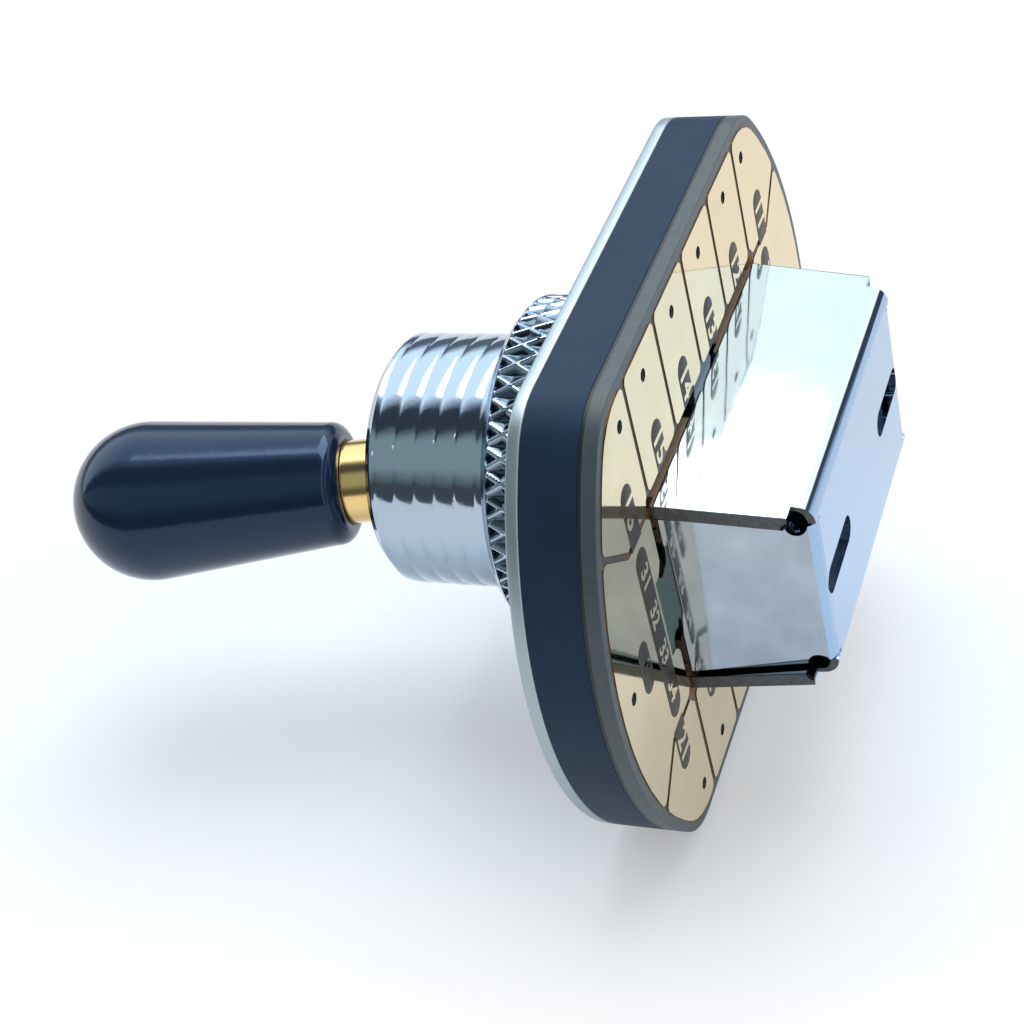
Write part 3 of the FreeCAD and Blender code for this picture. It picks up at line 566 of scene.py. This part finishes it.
def buildNut():
    s = nutSize
    y1 = -s["gap"]
    y0 = y1 - s["thick"]
    inner, outer = y0 + s["chamfer"], y1 - s["chamfer"]
    lip, margin, rows = s["boreEdge"], s["margin"], s["rows"]
    profile = [(s["bore"], y0 + lip), (s["bore"] + lip, y0), (s["radius"] - s["chamfer"], y0), (s["radius"], inner)]
    profile += [(s["radius"], inner + margin + (outer - inner - 2 * margin) * k / rows) for k in range(rows + 1)]
    profile += [(s["radius"], outer), (s["radius"] - s["chamfer"], y1), (s["bore"] + lip, y1), (s["bore"], y1 - lip)]
    mesh = revolvedMesh("knurledNut", profile, s["around"] * s["samples"])
    inputs = {"Around": float(s["around"]), "Step": s["step"], "Depth": s["depth"], "Crest": s["crest"],
              "Core": s["core"], "Start": inner + margin / 2, "End": outer - margin / 2,
              "Finish": finish["bright_plating"]}
    mesh = applyTree(mesh, knurlTree(), inputs, "knurledNut")
    return newPiece("knurledRoundNut", mesh, finish["bright_plating"], "nut", ["knurled_nut"], 60)


buildNut()
print("nut knurl made")

# the tip: straight swelling sides, a full round end, and a rounded rim where the lever goes in
knobSize = {"start": 9.95, "end": 23.85, "baseRadius": 2.9, "tipRadius": 3.89, "edge": 0.75, "bore": 2.0,
            "boreDepth": 7.5, "recess": 0.12, "segments": 96}


def buildKnob():
    s = knobSize
    side = s["end"] - s["tipRadius"] - s["start"]
    swell = s["tipRadius"] - s["baseRadius"]
    lean = math.degrees(math.asin(swell / math.hypot(side, swell)))
    centre = s["end"] - s["tipRadius"]
    tip = arcPoints(0, 0, s["tipRadius"], 90, -lean, 40)
    profile = [(0.0, -s["end"])] + [(r, -centre - d) for r, d in tip[1:]]
    middle = s["baseRadius"] - s["edge"] / math.tan(math.radians(90 + lean) / 2)
    profile += [(r, d - s["start"] - s["edge"]) for r, d in arcPoints(middle, 0, s["edge"], -lean, 90, 12)]
    profile += [(s["bore"] + s["recess"], -s["start"]), (s["bore"], -s["start"] - s["recess"]),
                (s["bore"], -s["start"] - s["boreDepth"]), (0.0, -s["start"] - s["boreDepth"])]
    mesh = revolvedMesh("tip", profile, s["segments"])
    mesh.transform(alongLever())
    return newPiece("roundedTip", mesh, finish["knob_plastic"], "stick", ["knob"], 40)


buildKnob()
print("tip made")


def outlinePoints(radius, half, corner, steps=48):
    # a disc cut by two straight sides, with rounded corners, as (x, z) points
    cz = half - corner
    cx = math.sqrt((radius - corner) ** 2 - cz ** 2)
    turn = math.degrees(math.atan2(cz, cx))
    right = arcPoints(cx, -cz, corner, -90, -turn, 10)[:-1] + arcPoints(0, 0, radius, -turn, turn, steps)
    right += arcPoints(cx, cz, corner, turn, 90, 10)[1:]
    return right + [(-x, -z) for x, z in right]


def flatMesh(name, loops, y0, y1, bevel):
    # filled outlines with holes, given a thickness along Y and softened edges
    curve = bpy.data.curves.new(name, "CURVE")
    curve.dimensions = "2D"
    curve.fill_mode = "BOTH"
    curve.extrude = (y1 - y0) / 2 - bevel
    curve.bevel_depth = bevel
    curve.bevel_resolution = 2
    curve.offset = -bevel
    for loop in loops:
        spline = curve.splines.new("POLY")
        spline.points.add(len(loop) - 1)
        for point, (x, z) in zip(spline.points, loop):
            point.co = (x, z, 0, 1)
        spline.use_cyclic_u = True
    holder = newObject(name + "Curve", curve)
    mesh = finishedMesh(holder)
    bpy.data.objects.remove(holder)
    mesh.name = name
    mesh.transform(Matrix(((1, 0, 0, 0), (0, 0, -1, (y0 + y1) / 2), (0, 1, 0, 0), (0, 0, 0, 1))))
    shape = bmesh.new()
    shape.from_mesh(mesh)
    bmesh.ops.remove_doubles(shape, verts=shape.verts, dist=0.0005)
    bmesh.ops.recalc_face_normals(shape, faces=shape.faces)
    shape.to_mesh(mesh)
    shape.free()
    return mesh


def circlePoints(x, z, radius, steps):
    return arcPoints(x, z, radius, 0, 360, steps)[:-1]


# the plate: flat, with the bush's hole and slightly rounded edges
plateSize = {"bore": 6.05, "bevel": 0.12}


def buildPlate():
    s = plateSize
    outline = outlinePoints(stack["edgeRadius"], stack["halfWidth"], stack["corner"])
    hole = circlePoints(0, 0, s["bore"], 96)
    mesh = flatMesh("frontPlate", [outline, hole], stack["plateFront"], stack["plateBack"], s["bevel"])
    newPiece("satinPlate", mesh, finish["plate"], "housing", ["front_plate"])


buildPlate()
print("plate made")


def refinedNode(name, pieceName, body, bevel=0.0, angle=30):
    # a merged copy of a solid's mesh, with its edges softened
    mesh = nodes[name].data.copy()
    mesh.transform(Matrix.Scale(1000, 4))
    shape = bmesh.new()
    shape.from_mesh(mesh)
    bmesh.ops.remove_doubles(shape, verts=shape.verts, dist=0.002)
    bmesh.ops.dissolve_limit(shape, angle_limit=math.radians(0.6), verts=shape.verts, edges=shape.edges)
    shape.to_mesh(mesh)
    shape.free()
    mesh.shade_smooth()
    mesh.set_sharp_from_angle(angle=math.radians(angle))
    holder = newObject(pieceName + "Holder", mesh)
    softenEdges(holder, bevel, angle)
    mesh = finishedMesh(holder)
    bpy.data.objects.remove(holder)
    mesh.name = pieceName
    slotName = slotOf[name]
    return newPiece(pieceName, mesh, finish[slotName], body, [name], None)


def cutterMesh():
    # a block and a cylinder along X for each corner of the can, to be taken out of its bends
    s = canTrim
    shape = bmesh.new()
    reach = s["notchX"] + s["overlap"] - s["holeFrom"]
    turned = Matrix.Rotation(math.radians(90), 4, "Y")
    half = s["past"] / 2
    for sx, sz in ((1, 1), (1, -1), (-1, 1), (-1, -1)):
        spot = Matrix.Translation((sx * (s["holeFrom"] + reach / 2), s["holeY"], sz * s["holeZ"]))
        bmesh.ops.create_cone(shape, cap_ends=True, segments=s["sides"], radius1=s["hole"], radius2=s["hole"],
                              depth=reach, matrix=spot @ turned)
        spot = Matrix.Translation((sx * (s["notchX"] + half), s["notchY"] + half, sz * (s["notchZ"] + half)))
        bmesh.ops.create_cube(shape, size=s["past"], matrix=spot)
    mesh = bpy.data.meshes.new("reliefCutter")
    shape.to_mesh(mesh)
    shape.free()
    return mesh


def buildCan():
    s = canTrim
    piece = refinedNode("can", "foldedCan", "housing")
    shape = bmesh.new()
    shape.from_mesh(piece.data)
    for vert in shape.verts:
        if abs(vert.co.x) > (s["flapEnd"] - s["margin"]) * milli:
            inward = s["lean"] * max(vert.co.y - s["leanFrom"] * milli, 0)
            vert.co.x -= math.copysign(inward, vert.co.x)
    shape.to_mesh(piece.data)
    shape.free()
    cutter = newObject("reliefCutter", cutterMesh())
    cutter.data.transform(Matrix.Scale(milli, 4))
    cut = piece.modifiers.new("relief", "BOOLEAN")
    cut.object = cutter
    cut.solver = "EXACT"
    cut.use_self = True
    softenEdges(piece, s["bevel"] * milli, 35)
    made = finishedMesh(piece)
    piece.modifiers.clear()
    piece.data = made
    bpy.data.objects.remove(cutter)


def buildSpring():
    piece = refinedNode("detent_spring", "coiledSpring", "stick")
    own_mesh(piece)


refinedNode("lever", "brassLever", "stick")
refinedNode("gimbal_ring", "brassRing", "gimbal")
refinedNode("body_moulding", "mouldedBody", "housing", 0.2)
refinedNode("circuit_board", "laminateBoard", "housing", 0.04)
refinedNode("copper_pads", "goldPads", "housing")
buildCan()
buildSpring()
print("solids softened")

# dark ovals etched in the pads, each with a plain number; places are across and up the board
labelSize = {"wide": 1.28, "proud": 0.012, "sunk": 0.01, "edge": 0.002, "slotEdge": 5.76, "endsFrom": 9,
             "endsShort": 0.65, "raised": 0.022, "thicken": 0.035, "digit": 1.6, "digitDown": 1.25,
             "tops": [(-11.0, 7.72), (-6.45, 7.85), (-2.0, 8.0), (2.25, 7.95), (6.45, 7.9), (10.75, 8.05)],
             "firsts": {1: 11, -1: 21}, "column": 10.75, "columnOval": (9.4, 1.3), "columnDigit": 1.2,
             "columnTexts": [(3.2, "31"), (1.1, "32"), (-1.1, "33"), (-3.2, "34")],
             "small": 12.7, "smallOval": (2.6, 1.15), "smallDigit": 1.15}


def ovalPoints(x, z, wide, tall, cutLow=None):
    # a slot shape with round ends that stands along Z, cut straight at its lower end where it meets a slot
    r = wide / 2
    top = arcPoints(x, z + tall / 2 - r, r, 0, 180, 16)
    if cutLow is not None:
        return top + [(x - r, cutLow), (x + r, cutLow)]
    return top + arcPoints(x, z - tall / 2 + r, r, 180, 360, 16)


def digitMesh(text, size, x, z):
    # plain figures from the built-in lettering, laid on the board's back and run along Z
    curve = bpy.data.curves.new("figure" + text, "FONT")
    curve.body = text
    curve.size = size
    curve.align_x = "CENTER"
    curve.align_y = "CENTER"
    curve.extrude = labelSize["raised"] / 2
    curve.offset = labelSize["thicken"]
    curve.resolution_u = 4
    holder = newObject("figureHolder", curve)
    mesh = finishedMesh(holder)
    bpy.data.objects.remove(holder)
    y = stack["copperBack"] + labelSize["raised"] / 2
    mesh.transform(Matrix.Rotation(math.radians(-90), 4, "Z"))
    mesh.transform(Matrix(((-1, 0, 0, x), (0, 0, 1, y), (0, 1, 0, z), (0, 0, 0, 1))))
    return mesh


def joined(meshes, name):
    shape = bmesh.new()
    for mesh in meshes:
        shape.from_mesh(mesh)
    bmesh.ops.remove_doubles(shape, verts=shape.verts, dist=0.0002)
    bmesh.ops.recalc_face_normals(shape, faces=shape.faces)
    made = bpy.data.meshes.new(name)
    shape.to_mesh(made)
    shape.free()
    return made


def buildLabels():
    s = labelSize
    low, high = stack["copperBack"] - s["sunk"], stack["copperBack"] + s["proud"]
    ovals = []
    figures = []
    for side in (1, -1):
        for k, (x, top) in enumerate(s["tops"]):
            tall = top - s["slotEdge"] + (0.0 if abs(x) < s["endsFrom"] else s["endsShort"])
            oval = ovalPoints(x, top - tall / 2, s["wide"], tall, top - tall)
            ovals.append(flatMesh("oval", [[(side * px, side * pz) for px, pz in oval]], low, high, s["edge"]))
            text = str(s["firsts"][side] + k)
            figures.append(digitMesh(text, s["digit"], side * x, side * (top - s["digitDown"])))
    for place, (tall, wide) in ((s["column"], s["columnOval"]), (s["small"], s["smallOval"])):
        for x in (place, -place):
            ovals.append(flatMesh("oval", [ovalPoints(x, 0.0, wide, tall)], low, high, s["edge"]))
    for side in (1, -1):
        for z, text in s["columnTexts"]:
            figures.append(digitMesh(text, s["columnDigit"], side * s["column"], z))
        figures.append(digitMesh("0", s["smallDigit"], side * s["small"], 0))
    newPiece("etchedOvals", joined(ovals, "etchedOvals"), etchedGround, "housing")
    newPiece("plainNumbers", joined(figures, "plainNumbers"), finish["pads"], "housing")


buildLabels()
print("numbers made")

# the floor in metres: its level, and the line below the switch about which the shadow shows before it fades
stageSize = {"floorLevel": -0.01207, "floorHalf": 1.2, "fadeStart": 0.009, "fadeEnd": 0.026, "lineFrom": -0.027,
             "lineTo": 0.004, "lineX": 0.002, "least": 0.36}


def buildFloor():
    # pale paper that turns plain white away from a line below the switch, so that only a soft shadow shows
    s = stageSize
    half = s["floorHalf"]
    mesh = bpy.data.meshes.new("paleFloor")
    corners = ((-half, -half), (half, -half), (half, half), (-half, half))
    mesh.from_pydata([(x, y, s["floorLevel"]) for x, y in corners], [], [(0, 1, 2, 3)])
    floor = newObject("paleFloor", mesh)
    material = bpy.data.materials.new("paleFloorPaper")
    material.use_nodes = True
    tree = material.node_tree
    tree.nodes.clear()
    paper = addNode(tree, "ShaderNodeBsdfDiffuse", {"Color": (0.8, 0.85, 0.92, 1)})
    white = addNode(tree, "ShaderNodeEmission", {"Color": (1, 1, 1, 1), "Strength": 1.0})
    place = addNode(tree, "ShaderNodeTexCoord").outputs["Object"]
    xyz = addNode(tree, "ShaderNodeSeparateXYZ", None, {0: place})
    nearest = addNode(tree, "ShaderNodeClamp", None,
                      {"Value": xyz.outputs[1], "Min": s["lineFrom"], "Max": s["lineTo"]})
    past = addNode(tree, "ShaderNodeMath", minus, {0: xyz.outputs[1], 1: nearest.outputs[0]})
    aside = addNode(tree, "ShaderNodeMath", minus, {0: xyz.outputs[0], 1: s["lineX"]})
    offset = addNode(tree, "ShaderNodeCombineXYZ", None, {0: aside.outputs[0], 1: past.outputs[0]})
    far = addNode(tree, "ShaderNodeVectorMath", length, {0: offset.outputs[0]})
    fade = addNode(tree, "ShaderNodeMapRange", smooth, {
        "Value": far.outputs["Value"], "From Min": s["fadeStart"], "From Max": s["fadeEnd"], "To Min": s["least"]})
    path = addNode(tree, "ShaderNodeLightPath")
    seen = path.outputs["Is Camera Ray"]
    for ray in ("Is Glossy Ray", "Is Transmission Ray"):
        seen = addNode(tree, "ShaderNodeMath", largest, {0: seen, 1: path.outputs[ray]}).outputs[0]
    share = addNode(tree, "ShaderNodeMath", times, {0: fade.outputs[0], 1: seen})
    shown = addNode(tree, "ShaderNodeMixShader", None,
                    {0: share.outputs[0], 1: paper.outputs[0], 2: white.outputs[0]})
    addNode(tree, "ShaderNodeOutputMaterial", None, {"Surface": shown.outputs[0]})
    mesh.materials.append(material)


# the room that metal mirrors, as bands that run along the switch: degrees up from +X, strength, tint
roomBands = [(0, 0.12, "dfe9f5"), (14, 0.12, "dfe9f5"), (30, 0.5, "dcf2ee"), (56, 0.5, "dcf2ee"),
             (66, 0.09, "c8dcf0"), (84, 0.09, "c8dcf0"), (100, 1.6, "ecf8ff"), (150, 1.6, "ecf8ff"),
             (163, 0.3, "c9dcf2"), (180, 0.25, "c9dcf2")]
# towards +Y the room is pale, with a dark shelf that the can's bend mirrors: share of +Y, strength, tint
backRows = [(0.46, 1.6, "fff9ee"), (0.5, 0.16, "b8c8d8"), (0.62, 0.16, "b8c8d8"), (0.7, 1.1, "f4f8ff")]
roomSize = {"strongest": 1.6, "backFrom": 0.22, "backFull": 0.46}


def fillRamp(ramp, rows):
    # rows of place from 0 to 1, strength and tint, dimmed so that the strongest is 1
    stops = ramp.color_ramp.elements
    for k, (place, strength, tint) in enumerate(rows):
        stop = stops[k] if k < 2 else stops.new(place)
        stop.position = place
        stop.color = (*[c * strength / roomSize["strongest"] for c in hexColour(tint)[:3]], 1)


def buildWorld():
    # the bands turn with the angle about +Y, the rows take over towards +Y, and the camera sees plain white
    s = roomSize
    world = bpy.data.worlds.new("paleRoom")
    bpy.context.scene.world = world
    world.use_nodes = True
    tree = world.node_tree
    tree.nodes.clear()
    way = addNode(tree, "ShaderNodeTexCoord").outputs["Generated"]
    xyz = addNode(tree, "ShaderNodeSeparateXYZ", None, {0: way})
    rise = addNode(tree, "ShaderNodeMath", largest, {0: xyz.outputs[2], 1: 0.0})
    turn = addNode(tree, "ShaderNodeMath", {"operation": "ARCTAN2"}, {0: rise.outputs[0], 1: xyz.outputs[0]})
    share = addNode(tree, "ShaderNodeMath", divide, {0: turn.outputs[0], 1: math.pi})
    bands = addNode(tree, "ShaderNodeValToRGB", None, {0: share.outputs[0]})
    fillRamp(bands, [(degrees / 180, strength, tint) for degrees, strength, tint in roomBands])
    behind = addNode(tree, "ShaderNodeValToRGB", None, {0: xyz.outputs[1]})
    fillRamp(behind, backRows)
    mask = addNode(tree, "ShaderNodeMapRange", smooth, {
        "Value": xyz.outputs[1], "From Min": s["backFrom"], "From Max": s["backFull"]})
    mixed = addNode(tree, "ShaderNodeMix", mix, {0: mask.outputs[0], 6: bands.outputs[0], 7: behind.outputs[0]})
    room = addNode(tree, "ShaderNodeBackground", {"Strength": s["strongest"]}, {"Color": mixed.outputs[2]})
    white = addNode(tree, "ShaderNodeBackground", {"Color": (1, 1, 1, 1), "Strength": 1.0})
    path = addNode(tree, "ShaderNodeLightPath")
    shown = addNode(tree, "ShaderNodeMixShader", None,
                    {0: path.outputs["Is Camera Ray"], 1: room.outputs[0], 2: white.outputs[0]})
    addNode(tree, "ShaderNodeOutputWorld", None, {"Surface": shown.outputs[0]})


# a window-like softbox above the board, in metres and watts
softbox = {"place": (-0.1, 0.02, 0.22), "side": 0.2, "power": 0.42}


def buildSoftbox():
    light = bpy.data.lights.new("windowSoftbox", "AREA")
    light.shape = "RECTANGLE"
    light.size = light.size_y = softbox["side"]
    light.energy = softbox["power"]
    lamp = newObject("windowSoftbox", light)
    lamp.location = softbox["place"]
    lamp.rotation_euler = (-Vector(softbox["place"])).to_track_quat("-Z", "Y").to_euler()


# placed so that plate, bush, can and tip fall where the photograph has them: the place in millimetres, the
# focal length in image pixels, the near and far ends of the view in metres, and its three ways
photoView = {"place": (66.567, 29.980, 56.859), "focal": 2003.2, "image": 1024, "sensor": 36,
             "shift": (0.01021, 0.0067), "near": 0.004, "far": 10, "right": (-0.3215874, 0.9203325, -0.2226426),
             "up": (-0.6573709, -0.0477691, 0.7520516), "back": (0.6815021, 0.3882091, 0.6203617)}


def buildCamera():
    s = photoView
    data = bpy.data.cameras.new("photoCamera")
    data.sensor_width = s["sensor"]
    data.lens = s["focal"] / s["image"] * s["sensor"]
    data.shift_x, data.shift_y = s["shift"]
    data.clip_start, data.clip_end = s["near"], s["far"]
    camera = newObject("photoCamera", data)
    place = Vector(s["place"]) * milli
    turn = Matrix((s["right"], s["up"], s["back"])).transposed()
    camera.matrix_world = Matrix.Translation(place) @ turn.to_4x4()
    bpy.context.scene.camera = camera


buildFloor()
buildWorld()
buildSoftbox()
buildCamera()
bpy.context.scene.view_settings.view_transform = "Standard"
print("floor, lights and camera set")

print("object and camera ready")
